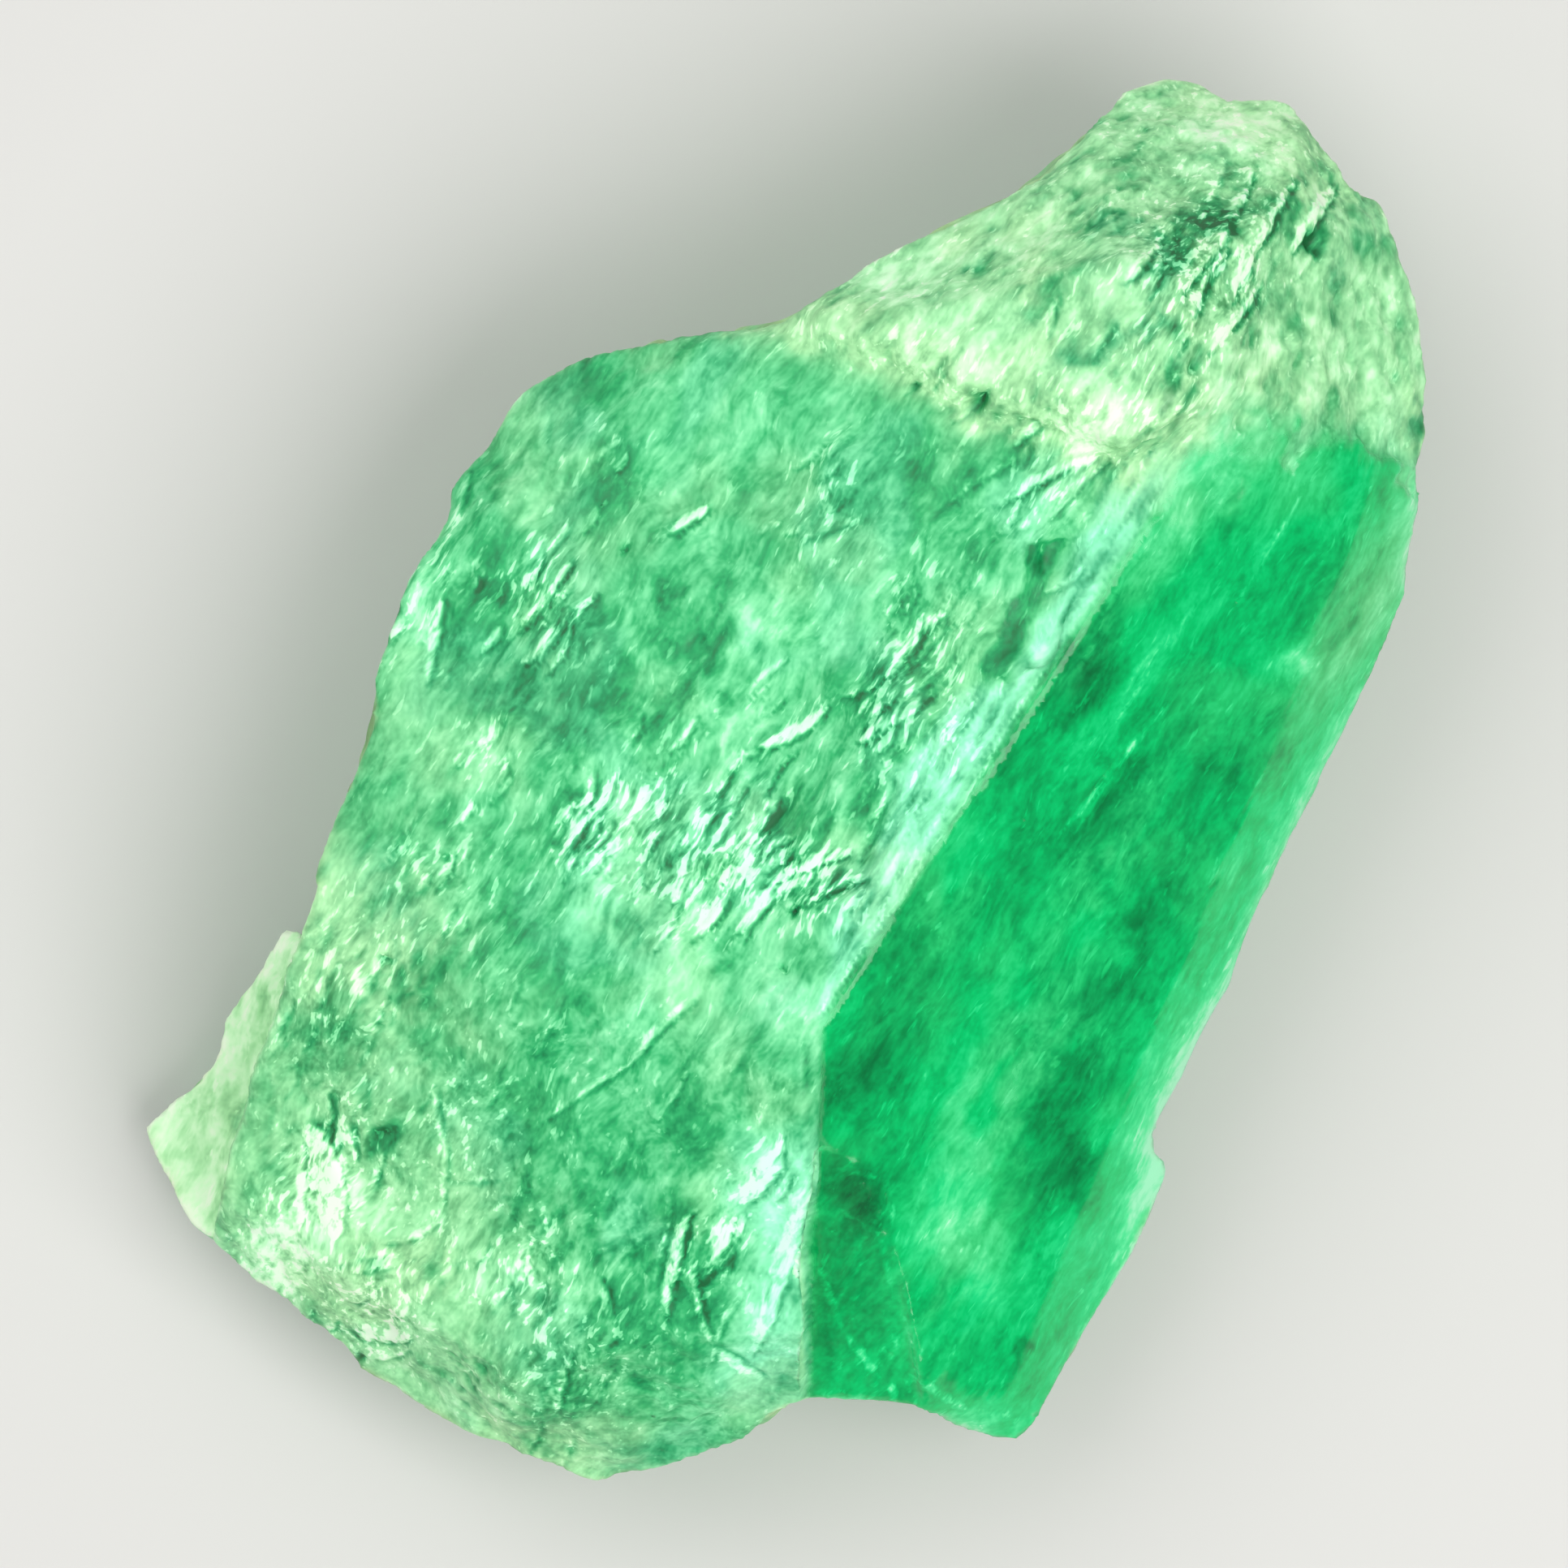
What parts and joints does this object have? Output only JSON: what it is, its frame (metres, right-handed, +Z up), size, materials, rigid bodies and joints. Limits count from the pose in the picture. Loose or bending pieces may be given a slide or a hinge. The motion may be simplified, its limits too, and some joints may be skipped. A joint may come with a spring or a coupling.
{
  "type": "raw emerald crystal",
  "caption": "Broken piece of a green prismatic crystal lying flat, with a clear sloping prism face, a wide rough frosted face, a raised cap at one end and a thin shelf at the other.",
  "frame": {"origin": "on the flat resting face, under the middle of the crystal's bounding box", "axes": "+Z up, away from the resting face; +Y along the longest side of the box, towards the capped end; +X towards the clear prism face"},
  "size_m": [0.024, 0.026, 0.0104],
  "materials": {
    "emerald": "clear to frosted, glassy on the prism face and rough on the broken faces"
  },
  "bodies": {
    "root": {"emerald_crystal": "emerald"}
  },
  "joints": []
}
